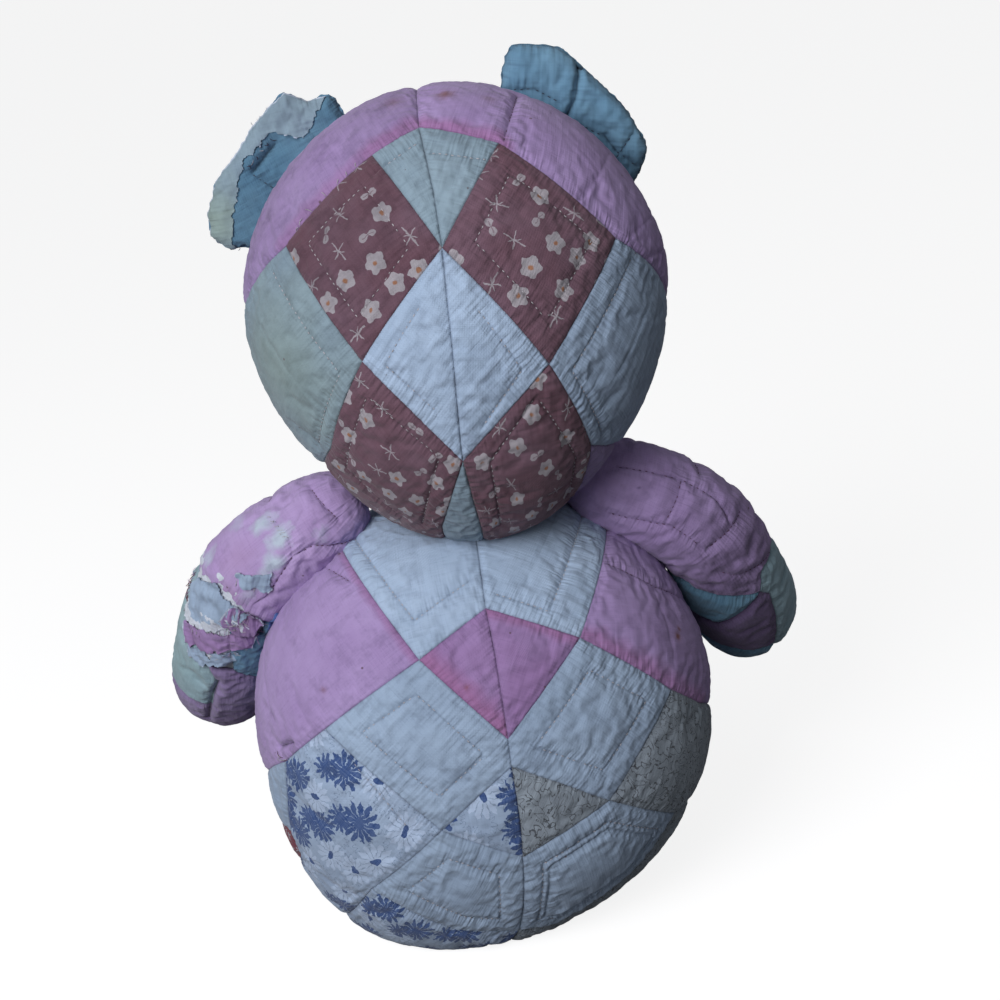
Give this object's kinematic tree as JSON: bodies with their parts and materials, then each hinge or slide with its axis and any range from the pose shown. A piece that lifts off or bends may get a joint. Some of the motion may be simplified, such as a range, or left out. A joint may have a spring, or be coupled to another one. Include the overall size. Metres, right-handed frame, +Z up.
{
  "type": "threadbare teddy bear",
  "caption": "Seated teddy bear sewn from an old patchwork quilt, stuffed head, body and limbs, flat ears, worn through on one arm and one ear.",
  "frame": {"origin": "middle of the flat seat, on the surface that the bear sits on", "axes": "+Z up through the head, +Y out of the bear's back, -Y the way it faces, +X to the bear's own left"},
  "size_m": [0.4774, 0.4411, 0.6129],
  "materials": {
    "quilt_patchwork": "hand-sewn patchwork of white, maroon print, rose and blue print cotton, quilted and worn",
    "rose_quilt": "faded rose-mauve quilted cotton, worn through in places",
    "blue_cotton": "faded steel-blue cotton, quilted, frayed at the worn ear",
    "white_cotton": "aged off-white cotton with fine stains",
    "wadding": "matted cotton wadding",
    "dark_thread": "stitched black embroidery thread",
    "button_plastic": "moulded black button, lightly scuffed"
  },
  "bodies": {
    "root": {"arm_left_back": "rose_quilt", "arm_left_front": "rose_quilt", "arm_left_stuffing": "wadding", "arm_right_back": "rose_quilt", "arm_right_front": "rose_quilt", "arm_right_stuffing": "wadding", "body_back_left": "quilt_patchwork", "body_back_right": "quilt_patchwork", "body_front_left": "quilt_patchwork", "body_front_right": "quilt_patchwork", "body_stuffing": "wadding", "ear_left_back": "blue_cotton", "ear_left_batting": "wadding", "ear_left_front": "blue_cotton", "ear_right_back": "blue_cotton", "ear_right_batting": "wadding", "ear_right_front": "blue_cotton", "eye_left": "button_plastic", "eye_right": "button_plastic", "head_back_left": "quilt_patchwork", "head_back_right": "quilt_patchwork", "head_front_left": "quilt_patchwork", "head_front_right": "quilt_patchwork", "head_stuffing": "wadding", "leg_left_inner": "quilt_patchwork", "leg_left_outer": "quilt_patchwork", "leg_left_stuffing": "wadding", "leg_right_inner": "quilt_patchwork", "leg_right_outer": "quilt_patchwork", "leg_right_stuffing": "wadding", "mouth": "dark_thread", "muzzle": "white_cotton", "nose": "dark_thread", "sole_left": "rose_quilt", "sole_right": "rose_quilt"}
  },
  "joints": []
}
